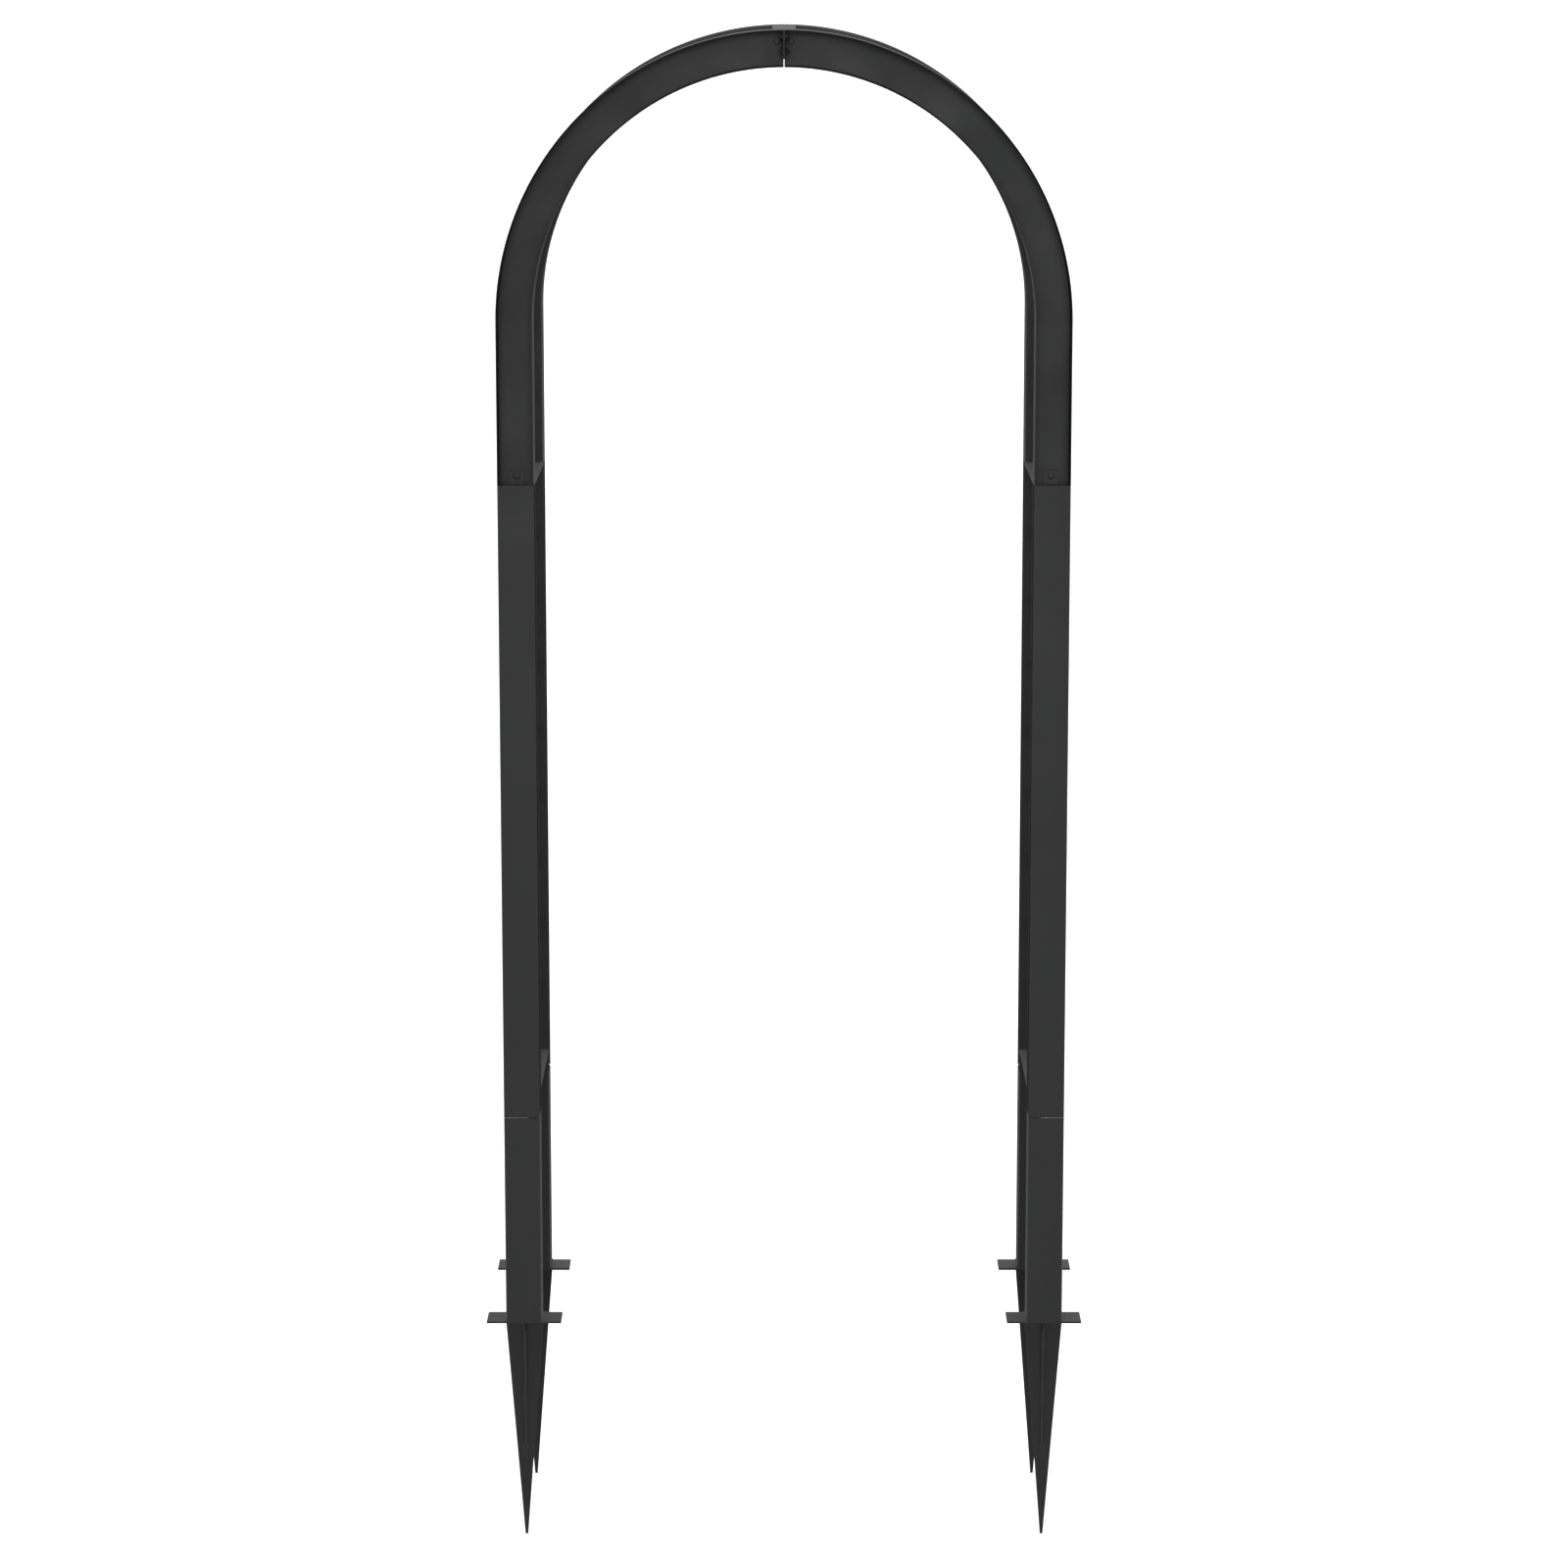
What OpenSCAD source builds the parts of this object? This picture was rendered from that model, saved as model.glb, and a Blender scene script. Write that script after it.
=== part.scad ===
// Metal trellis arch: two folded-sheet arches, front and rear, joined by rungs, on side panels,
// legs and ground spikes. The origin is on the ground at the middle of the walkway, +Z up,
// +X to the right and the front at -Y. The spikes reach below the ground.

/* [Overall] */
// Width over the two sides
arch_w = 1000; // [900:10:1200]
// Height of the crown above the ground
arch_h = 2300; // [2250:10:2400]
// Depth from the front face to the rear face
arch_d = 400; // [360:10:600]

/* [Frame members] */
// Width of a frame member, seen from the front
member_w = 64; // [60:1:76]
// Depth of a frame member, front to rear
member_d = 60; // [50:1:72]
// Thickness of the folded sheet
sheet_t = 1.5; // [1.2:0.1:2]

/* [Side panels] */
// Height of the lower joint, where a leg meets its stile
lower_joint_z = 381; // [330:1:400]
// Height of the upper joint, where a stile meets its arch channel
upper_joint_z = 1515; // [1440:1:1560]
// Height of the panel's bottom plate above the lower joint
bottom_plate_rise = 44; // [38:1:60]
// Number of rungs in each side panel
panel_rungs = 8; // [4:1:8]
// Thickness of the plates at the joints
joint_plate_t = 3; // [2:0.5:5]

/* [Rungs] */
// Side of the square rung tube
rung_w = 20; // [14:1:24]
// Wall of the rung tube
rung_wall = 1.5; // [1:0.5:2]
// Number of rungs in each half of the arch
arch_rungs = 7; // [5:1:9]

/* [Crown] */
// Width of the crown tie
tie_w = 42; // [38:1:60]
// Depth of the crown tie's sides
tie_drop = 40; // [34:1:50]
// Height of the bend relief notch at the crown
notch_h = 14; // [8:1:16]
// Gap that each half leaves beside the notch
notch_gap = 0.6; // [0.4:0.1:1.9]

/* [Feet] */
// Width of a foot plate
foot_w = 134; // [110:1:150]
// Thickness of a foot plate
foot_t = 4; // [3:0.5:6]
// Length of a spike below the ground
spike_len = 405; // [300:5:500]
// Width of a spike's front blade at the ground
spike_w = 68; // [56:1:76]
// Width of a spike at its tip
spike_tip = 5; // [4:0.5:8]
// Thickness of a spike's blades
spike_t = 4; // [3:0.5:6]

/* [Fasteners] */
// Shank diameter of the bolts
bolt_d = 6; // [5:0.5:7]
// Clearance on a bolt hole's diameter
hole_gap = 0.6; // [0.4:0.1:1]
// Width of a bolt head or nut across its flats
hex_w = 10; // [9:0.5:11]
// Height of a bolt head
head_h = 4; // [3:0.5:5]
// Height of a nut
nut_h = 5; // [4:0.5:6]
// Diameter of a washer
washer_d = 12; // [11:0.5:14]
// Thickness of a washer
washer_t = 1.6; // [1:0.1:2]

/* [Hidden] */
half_w = arch_w / 2;
half_d = arch_d / 2;
outer_r = half_w;
inner_r = half_w - member_w;
mid_r = half_w - member_w / 2;
spring_z = arch_h - outer_r;
inner_y = half_d - member_d;             // the face that a frame member turns to the gap
hole_d = bolt_d + hole_gap;

// Crown joint: the bolts in the end plates and the height of the bolts through the webs
crown_bolt_edge = 13;                    // from the end plate's edges to its bolts
crown_bolt_r = [inner_r + notch_h + crown_bolt_edge, outer_r - crown_bolt_edge];
crown_bolt_y = half_d - member_d / 2;
tie_bolt_x = 12;
tie_bolt_drop = 22;
tie_bolt_z = arch_h - tie_bolt_drop;
tie_t = 2;
tie_set_down = 0.5;                      // the tie's top lies this much under the arch's top

// Upper joint: the splice plate reaches the same way above and below it
splice_w = 28;
splice_reach = 21;
splice_t = 3;
splice_bolt_off = 11;
splice_bolt_z = [upper_joint_z - splice_bolt_off, upper_joint_z + splice_bolt_off];
base_bolt_y = inner_y / 2;

// Lower joint: the spigot fits in the leg and in the stile
bottom_plate_z = lower_joint_z + bottom_plate_rise;
spigot_clear = 0.5;                      // play between the spigot and what it slides in
spigot_drop = 50;                        // the spigot's reach below the joint
spigot_w = 40;
spigot_d = member_d - 2 * sheet_t - 2 * spigot_clear;
spigot_z = [lower_joint_z - spigot_drop, bottom_plate_z - joint_plate_t - spigot_clear];
spigot_x = half_w - sheet_t - spigot_clear - spigot_w / 2;
screw_drop = 25;                         // the leg's screw, below the joint
screw_rise = 20;                         // the stile's screw, above the joint
screw_z = [lower_joint_z - screw_drop, lower_joint_z + screw_rise];
screw_past = 5;                          // a screw's reach past the spigot's wall
button_d = 11;
button_top_d = 8;
button_h = 3.3;

// Rung places: equal steps between the two plates, and equal steps along the arch's middle line
rung_step = (upper_joint_z - bottom_plate_z) / (panel_rungs + 1);
run_straight = spring_z - upper_joint_z;
run_arc = mid_r * PI / 2;
run_step = (run_straight + run_arc) / (arch_rungs + 1);
thread_past_nut = 3;
bolt_end = nut_h + thread_past_nut;      // a bolt's reach past what it clamps
side_blade_w = member_d - 2;             // the spike's side blade at the ground
over = 1;                                // how far a cut runs past the face that it opens
eps = 0.01;                              // overlap that keeps touching faces apart or joined
$fn = 48;

SIDES = ["left", "right"];
FACES = ["front", "rear"];
CORNERS = [for (s = SIDES) for (f = FACES) str(f, "_", s)];
function corner_nodes(stem) = [for (c = CORNERS) str(stem, "_", c)];
function side_nodes(stem) = [for (s = SIDES) str(stem, "_", s)];
PANEL_RUNGS = [for (s = SIDES) for (i = [1:panel_rungs]) str("panel_rung_", s, "_", i)];

// Everything is drawn for the right side at the rear, and mirrored to the other corners.
module on_side(side) {
    mirror([side == "left" ? 1 : 0, 0, 0]) children();
}

module on_corner(side, face) {
    on_side(side) mirror([0, face == "front" ? 1 : 0, 0]) children();
}

module all_corners() {
    for (s = SIDES) for (f = FACES) on_corner(s, f) children();
}

module along_y(from, to, d) {
    translate([0, from, 0]) rotate([-90, 0, 0]) cylinder(h = to - from, d = d);
}

module along_x(from, to, d) {
    translate([from, 0, 0]) rotate([0, 90, 0]) cylinder(h = to - from, d = d);
}

module block(low, high) {
    translate(low) cube(high - low);
}

// A hex bolt along +Z with its head's underside at the origin and its shank going down
module hex_bolt(grip) {
    translate([0, 0, washer_t]) cylinder(h = head_h, d = hex_w / cos(30), $fn = 6);
    difference() {
        cylinder(h = washer_t, d = washer_d);
        translate([0, 0, -eps]) cylinder(h = washer_t + 2 * eps, d = bolt_d);
    }
    translate([0, 0, -grip]) cylinder(h = grip + washer_t, d = bolt_d);
}

module hex_nut() {
    difference() {
        cylinder(h = nut_h, d = hex_w / cos(30), $fn = 6);
        translate([0, 0, -eps]) cylinder(h = nut_h + 2 * eps, d = bolt_d);
    }
}

// The channel's section in the plane of its radius and its depth: the web at the gap side and
// two flanges that reach the outer face
module channel_section() {
    difference() {
        translate([inner_r, inner_y]) square([member_w, member_d]);
        translate([inner_r + sheet_t, inner_y + sheet_t])
            square([member_w - 2 * sheet_t, member_d]);
    }
}

module arch_channel() {
    color("#3a3b3d") difference() {
        union() {
            translate([0, 0, spring_z]) rotate([90, 0, 0]) mirror([0, 0, 1])
                rotate_extrude(angle = 90, $fn = 180) channel_section();
            translate([0, 0, upper_joint_z]) linear_extrude(run_straight) channel_section();
            block([0, inner_y + eps, spring_z + inner_r + notch_h],
                [sheet_t, half_d, spring_z + outer_r - eps]);
        }
        // bend relief notch at the crown's inner corner
        block([-over, inner_y - over, spring_z + inner_r - over],
            [notch_gap, half_d + over, spring_z + inner_r + notch_h]);
        for (r = crown_bolt_r)
            translate([0, crown_bolt_y, spring_z + r]) along_x(-over, sheet_t + over, hole_d);
        translate([tie_bolt_x, 0, tie_bolt_z]) along_y(inner_y - over, inner_y + sheet_t + over, hole_d);
        translate([mid_r, 0, splice_bolt_z[1]])
            along_y(inner_y - over, inner_y + sheet_t + over, hole_d);
    }
}

module arch_base_plate() {
    color("#3a3b3d") difference() {
        block([inner_r, -inner_y, upper_joint_z], [half_w, inner_y, upper_joint_z + joint_plate_t]);
        for (y = [-base_bolt_y, base_bolt_y])
            translate([mid_r, y, upper_joint_z - over])
                cylinder(h = joint_plate_t + 2 * over, d = hole_d);
    }
}

module rung() {
    difference() {
        block([-rung_w / 2, -inner_y, -rung_w / 2], [rung_w / 2, inner_y, rung_w / 2]);
        block([-rung_w / 2 + rung_wall, -inner_y - over, -rung_w / 2 + rung_wall],
            [rung_w / 2 - rung_wall, inner_y + over, rung_w / 2 - rung_wall]);
    }
}

module arch_rungs() {
    color("#333436") for (i = [1:arch_rungs]) {
        run = i * run_step;
        turn = (run - run_straight) / mid_r * 180 / PI;
        if (turn <= 0) translate([mid_r, 0, upper_joint_z + run]) rung();
        else translate([0, 0, spring_z]) rotate([0, -turn, 0]) translate([mid_r, 0, 0]) rung();
    }
}

module panel_rung(i) {
    color("#333436") translate([mid_r, 0, bottom_plate_z + i * rung_step]) rung();
}

module crown_tie() {
    color("#3a3b3d") difference() {
        block([-tie_w / 2, -inner_y, arch_h - tie_drop],
            [tie_w / 2, inner_y, arch_h - tie_set_down]);
        block([-tie_w / 2 + tie_t, -inner_y + tie_t, arch_h - tie_drop - over],
            [tie_w / 2 - tie_t, inner_y - tie_t, arch_h - tie_set_down - tie_t]);
        for (x = [-tie_bolt_x, tie_bolt_x]) translate([x, 0, tie_bolt_z]) {
            along_y(-inner_y - over, -inner_y + tie_t + over, hole_d);
            along_y(inner_y - tie_t - over, inner_y + over, hole_d);
        }
    }
}

module splice_plate() {
    color("#3a3b3d") difference() {
        block([mid_r - splice_w / 2, inner_y + sheet_t, upper_joint_z - splice_reach],
            [mid_r + splice_w / 2, inner_y + sheet_t + splice_t, upper_joint_z + splice_reach]);
        for (z = splice_bolt_z) translate([mid_r, 0, z])
            along_y(inner_y, inner_y + sheet_t + splice_t + over, hole_d);
    }
}

module stile() {
    color("#38393b") difference() {
        block([inner_r, inner_y, lower_joint_z], [half_w, half_d, upper_joint_z]);
        block([inner_r - over, inner_y + sheet_t, lower_joint_z - over],
            [half_w - sheet_t, half_d - sheet_t, upper_joint_z + over]);
        translate([mid_r, 0, splice_bolt_z[0]])
            along_y(inner_y - over, inner_y + sheet_t + over, hole_d);
        translate([spigot_x, 0, screw_z[1]]) along_y(inner_y - over, inner_y + sheet_t + over, hole_d);
    }
}

module panel_top_plate() {
    color("#38393b") difference() {
        block([inner_r, -inner_y, upper_joint_z - joint_plate_t], [half_w, inner_y, upper_joint_z]);
        for (y = [-base_bolt_y, base_bolt_y])
            translate([mid_r, y, upper_joint_z - joint_plate_t - over])
                cylinder(h = joint_plate_t + 2 * over, d = hole_d);
    }
}

module panel_bottom_plate() {
    color("#38393b")
        block([inner_r, -inner_y, bottom_plate_z - joint_plate_t], [half_w, inner_y, bottom_plate_z]);
}

module leg() {
    color("#38393b") difference() {
        block([inner_r, inner_y, foot_t], [half_w, half_d, lower_joint_z]);
        block([inner_r + sheet_t, inner_y + sheet_t, foot_t - over],
            [half_w - sheet_t, half_d - sheet_t, lower_joint_z + over]);
        translate([spigot_x, 0, screw_z[0]]) along_y(inner_y - over, inner_y + sheet_t + over, hole_d);
    }
}

module leg_spigot() {
    low_y = inner_y + sheet_t;
    color("#4a4b4d") difference() {
        block([spigot_x - spigot_w / 2, low_y, spigot_z[0]],
            [spigot_x + spigot_w / 2, low_y + spigot_d, spigot_z[1]]);
        block([spigot_x - spigot_w / 2 + sheet_t, low_y + sheet_t, spigot_z[0] - over],
            [spigot_x + spigot_w / 2 - sheet_t, low_y + spigot_d - sheet_t, spigot_z[1] + over]);
        for (z = screw_z) translate([spigot_x, 0, z])
            along_y(low_y - over, low_y + sheet_t + over, hole_d);
    }
}

module foot_plate() {
    color("#3e3f41")
        block([mid_r - foot_w / 2, inner_y, 0], [mid_r + foot_w / 2, half_d, foot_t]);
}

module blade(top_w) {
    rotate([90, 0, 0]) linear_extrude(spike_t, center = true)
        polygon([[-top_w / 2, 0], [-spike_tip / 2, -spike_len], [spike_tip / 2, -spike_len],
            [top_w / 2, 0]]);
}

module spike() {
    color("#353638") translate([mid_r, half_d - member_d / 2, 0]) {
        blade(spike_w);
        rotate([0, 0, 90]) blade(side_blade_w);
    }
}

// Bolts through the crown's end plates, with their heads on the left
module crown_bolts() {
    color("#5a5b5e") for (f = FACES) mirror([0, f == "front" ? 1 : 0, 0]) for (r = crown_bolt_r)
        translate([-sheet_t, crown_bolt_y, spring_z + r]) rotate([0, -90, 0])
            hex_bolt(2 * sheet_t + bolt_end);
}

// Bolts from the channels' open side through the web and the tie's folded end
module tie_bolts() {
    color("#5a5b5e") all_corners() translate([tie_bolt_x, inner_y + sheet_t, tie_bolt_z])
        rotate([-90, 0, 0]) hex_bolt(sheet_t + tie_t + bolt_end);
}

module splice_bolts() {
    color("#5a5b5e") all_corners() for (z = splice_bolt_z)
        translate([mid_r, inner_y + sheet_t + splice_t, z]) rotate([-90, 0, 0])
            hex_bolt(sheet_t + splice_t + bolt_end);
}

module base_plate_bolts() {
    color("#5a5b5e") for (s = SIDES) on_side(s) for (y = [-base_bolt_y, base_bolt_y])
        translate([mid_r, y, upper_joint_z + joint_plate_t]) hex_bolt(2 * joint_plate_t + bolt_end);
}

// The nuts of all four kinds of hex bolt
module hex_nuts() {
    color("#5a5b5e") {
        for (f = FACES) mirror([0, f == "front" ? 1 : 0, 0]) for (r = crown_bolt_r)
            translate([sheet_t, crown_bolt_y, spring_z + r]) rotate([0, 90, 0]) hex_nut();
        all_corners() translate([tie_bolt_x, inner_y - tie_t, tie_bolt_z])
            rotate([90, 0, 0]) hex_nut();
        all_corners() for (z = splice_bolt_z)
            translate([mid_r, inner_y, z]) rotate([90, 0, 0]) hex_nut();
        for (s = SIDES) on_side(s) for (y = [-base_bolt_y, base_bolt_y])
            translate([mid_r, y, upper_joint_z - joint_plate_t]) mirror([0, 0, 1]) hex_nut();
    }
}

// Button screws from the gap side through the stile or leg into the spigot
module spigot_screws() {
    color("#5a5b5e") all_corners() for (z = screw_z)
        translate([spigot_x, inner_y, z]) rotate([90, 0, 0]) {
            cylinder(h = button_h, d1 = button_d, d2 = button_top_d);
            translate([0, 0, -2 * sheet_t - screw_past])
                cylinder(h = 2 * sheet_t + screw_past + eps, d = bolt_d);
        }
}

for (s = SIDES) {
    for (f = FACES) {
        corner = str(f, "_", s);
        on_corner(s, f) arch_channel();
        on_corner(s, f) splice_plate();
        on_corner(s, f) stile();
        on_corner(s, f) leg();
        on_corner(s, f) leg_spigot();
        on_corner(s, f) foot_plate();
        on_corner(s, f) spike();
    }
    on_side(s) arch_base_plate();
    on_side(s) arch_rungs();
    on_side(s) panel_top_plate();
    on_side(s) panel_bottom_plate();
    for (i = [1:panel_rungs])
        on_side(s) panel_rung(i);
}
crown_tie();
crown_bolts();
tie_bolts();
splice_bolts();
base_plate_bolts();
spigot_screws();
hex_nuts();
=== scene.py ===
import math
import bmesh
import bpy
from mathutils import Matrix, Vector


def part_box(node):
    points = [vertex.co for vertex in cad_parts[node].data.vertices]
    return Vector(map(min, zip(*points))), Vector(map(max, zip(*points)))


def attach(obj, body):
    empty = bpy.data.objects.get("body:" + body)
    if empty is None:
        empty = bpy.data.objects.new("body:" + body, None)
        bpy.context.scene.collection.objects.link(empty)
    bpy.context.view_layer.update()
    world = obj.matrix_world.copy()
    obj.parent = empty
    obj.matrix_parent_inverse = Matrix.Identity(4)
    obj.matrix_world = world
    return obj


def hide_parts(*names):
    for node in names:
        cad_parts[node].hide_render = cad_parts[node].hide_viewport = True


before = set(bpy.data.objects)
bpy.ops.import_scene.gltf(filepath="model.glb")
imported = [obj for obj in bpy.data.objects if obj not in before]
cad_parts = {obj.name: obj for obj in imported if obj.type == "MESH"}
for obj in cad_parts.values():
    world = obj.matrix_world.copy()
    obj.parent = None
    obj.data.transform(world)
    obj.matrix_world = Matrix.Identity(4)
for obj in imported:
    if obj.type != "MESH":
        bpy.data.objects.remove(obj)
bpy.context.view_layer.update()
print("frame loaded with", len(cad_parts), "CAD nodes")

mm = 0.001
quarterTurn = math.pi / 2
sides = ("left", "right")
faces = ("front", "rear")

# places that every piece is built from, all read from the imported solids
channelLow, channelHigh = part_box("arch_channel_rear_right")
seatLow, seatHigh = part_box("arch_base_plate_right")
legLow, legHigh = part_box("leg_rear_right")
footLow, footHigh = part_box("foot_plate_rear_right")
spikeLow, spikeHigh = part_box("spike_rear_right")
halfWidth = channelHigh.x
halfDepth = channelHigh.y
gapY = channelLow.y                # face that a member turns to the rungs
innerX = seatLow.x                 # face that a member turns to the walkway
middleX = (innerX + halfWidth) / 2
middleY = (gapY + halfDepth) / 2
crownZ = channelHigh.z
springZ = crownZ - halfWidth
upperZ = channelLow.z              # joint of stile and arch channel
lowerZ = legHigh.z                 # joint of leg and stile

finish = {
    "cutEdge": 0.35 * mm,          # edge broken by the deburring brush
    "cutEdgeSegments": 2,
    "cutEdgeAngle": math.radians(50),
    "creaseAngle": math.radians(32),
    "mergeDistance": 0.005 * mm,
    "sheet": 1.5 * mm,
    "foldRadius": 2.6 * mm,
    "foldSegments": 5,
    "cornerSegments": 4,
}


def isVert(item):
    return isinstance(item, bmesh.types.BMVert)


def isEdge(item):
    return isinstance(item, bmesh.types.BMEdge)


def line(points, closed=False):
    bm = bmesh.new()
    verts = [bm.verts.new(p) for p in points]
    for a, b in zip(verts, verts[1:] + (verts[:1] if closed else [])):
        bm.edges.new((a, b))
    return bm, verts


def foldCorners(bm, verts, radius, segments):
    bmesh.ops.bevel(bm, geom=verts, offset=radius, offset_type="OFFSET", affect="VERTICES",
                    segments=segments, profile=0.5, material=-1)


def roundEdges(bm, edges, radius, segments):
    bmesh.ops.bevel(bm, geom=edges, offset=radius, offset_type="OFFSET", affect="EDGES",
                    segments=segments, profile=0.5, material=-1)


def drawOut(bm, edges, along):
    made = bmesh.ops.extrude_edge_only(bm, edges=edges)["geom"]
    verts = [item for item in made if isVert(item)]
    bmesh.ops.translate(bm, vec=along, verts=verts)
    return [item for item in made if isEdge(item) and all(v in verts for v in item.verts)]


def tidyShell(bm):
    bmesh.ops.remove_doubles(bm, verts=bm.verts[:], dist=finish["mergeDistance"])
    bmesh.ops.recalc_face_normals(bm, faces=bm.faces[:])
    return bm


def thicken(bm, along):
    grown = bmesh.ops.extrude_face_region(bm, geom=bm.faces[:])["geom"]
    bmesh.ops.translate(bm, vec=along, verts=[item for item in grown if isVert(item)])
    return tidyShell(bm)


def giveWall(bm, thickness):
    tidyShell(bm)
    bmesh.ops.solidify(bm, geom=bm.faces[:], thickness=thickness)
    return bm


def reshape(bm, matrix):
    bmesh.ops.transform(bm, matrix=matrix, verts=bm.verts[:])
    if matrix.determinant() < 0:
        bmesh.ops.reverse_faces(bm, faces=bm.faces[:])
    return bm


def put(target, shape, matrix=Matrix.Identity(4)):
    scratch = bpy.data.meshes.new("scratch")
    copy = reshape(shape.copy(), matrix)
    copy.to_mesh(scratch)
    copy.free()
    target.from_mesh(scratch)
    bpy.data.meshes.remove(scratch)


def addPiece(bm, name, material, nodes=(), edge=finish["cutEdge"]):
    for face in bm.faces:
        face.smooth = True
    for item in bm.edges:
        item.smooth = item.is_manifold and item.calc_face_angle() < finish["creaseAngle"]
    mesh = bpy.data.meshes.new(name)
    bm.to_mesh(mesh)
    bm.free()
    mesh.materials.append(material)
    piece = bpy.data.objects.new(name, mesh)
    bpy.context.scene.collection.objects.link(piece)
    if edge:
        rounding = piece.modifiers.new("cutEdges", "BEVEL")
        rounding.width = edge
        rounding.segments = finish["cutEdgeSegments"]
        rounding.limit_method = "ANGLE"
        rounding.angle_limit = finish["cutEdgeAngle"]
        rounding.harden_normals = True
    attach(piece, "root")
    if nodes:
        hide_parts(*nodes)
    return piece


def flip(side, face="rear"):
    return Matrix.Diagonal((-1 if side == "left" else 1, -1 if face == "front" else 1, 1, 1))


def atCorners(bm, stem, nodeStem, material, edge=finish["cutEdge"]):
    for side in sides:
        for face in faces:
            addPiece(reshape(bm.copy(), flip(side, face)), stem + face.title() + side.title(),
                     material, [f"{nodeStem}_{face}_{side}"], edge)
    bm.free()


def atSides(bm, stem, nodeStem, material, edge=finish["cutEdge"]):
    for side in sides:
        nodes = [f"{nodeStem}_{side}"] if nodeStem else ()
        addPiece(reshape(bm.copy(), flip(side)), stem + side.title(), material, nodes,
                 edge)
    bm.free()


# shader node groups: each puts out masks or a height, and the materials give them their values

def newGroup(name, inputs, outputs):
    tree = bpy.data.node_groups.new(name, "ShaderNodeTree")
    for label, kind, value in inputs:
        socket = tree.interface.new_socket(label, in_out="INPUT", socket_type=kind)
        if value is not None:
            socket.default_value = value
    for label in outputs:
        tree.interface.new_socket(label, in_out="OUTPUT", socket_type="NodeSocketFloat")
    return tree, tree.nodes.new("NodeGroupInput").outputs, tree.nodes.new("NodeGroupOutput").inputs


def feed(tree, value, socket):
    if isinstance(value, bpy.types.NodeSocket):
        tree.links.new(value, socket)
    else:
        socket.default_value = value


def maths(tree, operation, first, second=0.0, clamp=False):
    made = tree.nodes.new("ShaderNodeMath")
    made.operation = operation
    made.use_clamp = clamp
    feed(tree, first, made.inputs[0])
    feed(tree, second, made.inputs[1])
    return made.outputs[0]


def noise(tree, vector, size, detail, roughness=0.5):
    made = tree.nodes.new("ShaderNodeTexNoise")
    feed(tree, vector, made.inputs["Vector"])
    feed(tree, maths(tree, "DIVIDE", 1.0, size), made.inputs["Scale"])
    made.inputs["Detail"].default_value = detail
    made.inputs["Roughness"].default_value = roughness
    return made.outputs["Fac"]


def spread(tree, value, low, high, toLow=0.0, toHigh=1.0):
    made = tree.nodes.new("ShaderNodeMapRange")
    feed(tree, value, made.inputs["Value"])
    made.inputs["From Min"].default_value = low
    made.inputs["From Max"].default_value = high
    made.inputs["To Min"].default_value = toLow
    made.inputs["To Max"].default_value = toHigh
    return made.outputs["Result"]


def makeCoatSkin():
    tree, given, out = newGroup(
        "coatSkin",
        [("Vector", "NodeSocketVector", None), ("Peel Size", "NodeSocketFloat", 1.6 * mm),
         ("Patch Size", "NodeSocketFloat", 0.09)],
        ["Height", "Tone", "Speck"])
    feed(tree, noise(tree, given["Vector"], given["Peel Size"], 1.5, 0.4), out["Height"])
    broad = noise(tree, given["Vector"], given["Patch Size"], 3.0)
    feed(tree, spread(tree, broad, 0.32, 0.68), out["Tone"])
    fine = noise(tree, given["Vector"], maths(tree, "MULTIPLY", given["Peel Size"], 0.45), 1.0)
    feed(tree, spread(tree, fine, 0.6, 0.7), out["Speck"])
    return tree


# painted highlight and wear: lightens the base colour along rounded edges, standing in for light
# glinting off the edge rounds; on the spikes the same lightening stands for scuffed wear
def makeEdgeHighlightAndWear():
    tree, given, out = newGroup(
        "edgeCatch",
        [("Vector", "NodeSocketVector", None), ("Radius", "NodeSocketFloat", 1.2 * mm),
         ("Gain", "NodeSocketFloat", 2.0)],
        ["Mask"])
    rounded = tree.nodes.new("ShaderNodeBevel")
    rounded.samples = 4
    feed(tree, given["Radius"], rounded.inputs["Radius"])
    geometry = tree.nodes.new("ShaderNodeNewGeometry")
    dot = tree.nodes.new("ShaderNodeVectorMath")
    dot.operation = "DOT_PRODUCT"
    feed(tree, rounded.outputs["Normal"], dot.inputs[0])
    feed(tree, geometry.outputs["Normal"], dot.inputs[1])
    turned = maths(tree, "SUBTRACT", 1.0, dot.outputs["Value"], clamp=True)
    broken = spread(tree, noise(tree, given["Vector"], 6 * mm, 2.0), 0.3, 0.7, 0.35, 1.0)
    gained = maths(tree, "MULTIPLY", turned, given["Gain"])
    feed(tree, maths(tree, "MULTIPLY", gained, broken, clamp=True), out["Mask"])
    return tree


# dust together with painted top light: a lighter colour on upward-facing surfaces, in patches,
# standing in partly for settled dust and partly for the brighter light that falls on tops
def makeDustAndTopLight():
    tree, given, out = newGroup(
        "settledDust",
        [("Vector", "NodeSocketVector", None), ("Patch Size", "NodeSocketFloat", 0.02),
         ("Amount", "NodeSocketFloat", 0.5)],
        ["Mask"])
    geometry = tree.nodes.new("ShaderNodeNewGeometry")
    parts = tree.nodes.new("ShaderNodeSeparateXYZ")
    feed(tree, geometry.outputs["Normal"], parts.inputs[0])
    facingUp = spread(tree, parts.outputs["Z"], 0.25, 0.95)
    patches = spread(tree, noise(tree, given["Vector"], given["Patch Size"], 4.0), 0.3, 0.7, 0.45)
    held = maths(tree, "MULTIPLY", facingUp, patches)
    feed(tree, maths(tree, "MULTIPLY", held, given["Amount"], clamp=True), out["Mask"])
    return tree


coatSkin = makeCoatSkin()
edgeCatch = makeEdgeHighlightAndWear()
settledDust = makeDustAndTopLight()
print("shader groups made")


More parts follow.
